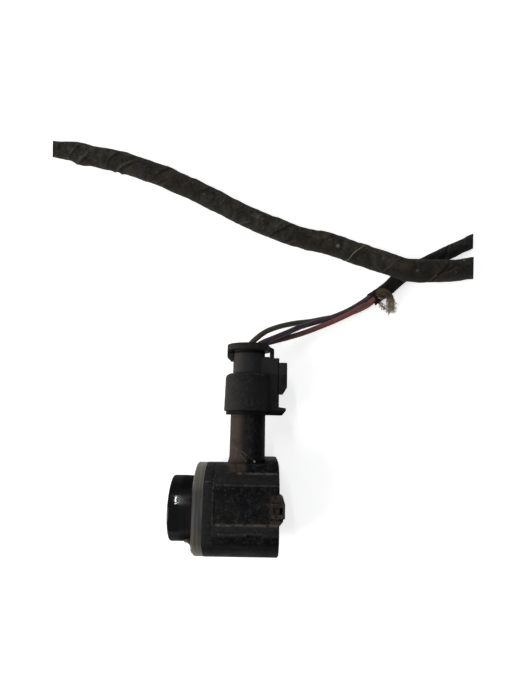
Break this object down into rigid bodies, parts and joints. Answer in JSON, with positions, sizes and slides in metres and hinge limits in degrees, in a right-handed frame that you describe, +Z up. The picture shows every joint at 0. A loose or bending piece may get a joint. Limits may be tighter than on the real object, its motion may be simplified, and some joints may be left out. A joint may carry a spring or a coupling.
{
  "type": "ultrasonic parking sensor",
  "caption": "Round ultrasonic parking sensor with grip flats, a side connector stub and plug, lying on its side with its thin wires, a taped branch and a short cut length of cloth-taped loom.",
  "frame": {"origin": "middle of the membrane's front face", "axes": "-X out of the membrane, +Y along the connector stub to the plug, +Z up from the flat that the part lies on"},
  "size_m": [0.1262, 0.1149, 0.0187],
  "materials": {
    "housing_plastic": "moulded, dusty",
    "silicone": "translucent, satin",
    "membrane_paint": "gloss",
    "piezo": "silvered",
    "damping": "foam",
    "copper": "bright",
    "board": "solder mask",
    "chip": "moulded",
    "coil": "ferrite",
    "capacitor": "satin",
    "contact": "tinned",
    "plug_plastic": "moulded, dusty",
    "seal": "satin",
    "wire_olive": "satin, dusty",
    "wire_red": "satin, dusty",
    "wire_violet": "satin, dusty",
    "branch_tape": "cloth tape",
    "frayed_tape": "frayed",
    "loom_tape": "cloth tape, dusty"
  },
  "bodies": {
    "root": {"housing": "housing_plastic", "retaining_collar": "housing_plastic", "decoupling_ring": "silicone", "membrane_cup": "membrane_paint", "piezo_disc": "piezo", "damping_pad": "damping", "transducer_leads": "copper", "circuit_board": "board", "driver_chip": "chip", "transformer": "coil", "capacitors": "capacitor", "contact_pins": "contact", "plug_housing": "plug_plastic", "plug_seal": "seal", "seal_retainer": "plug_plastic", "terminals": "contact", "wire_seal": "seal", "rear_cap": "plug_plastic", "wire_olive": "wire_olive", "wire_red": "wire_red", "wire_violet": "wire_violet", "branch_tape": "branch_tape", "tape_tail": "frayed_tape", "main_loom": "loom_tape"}
  },
  "joints": []
}
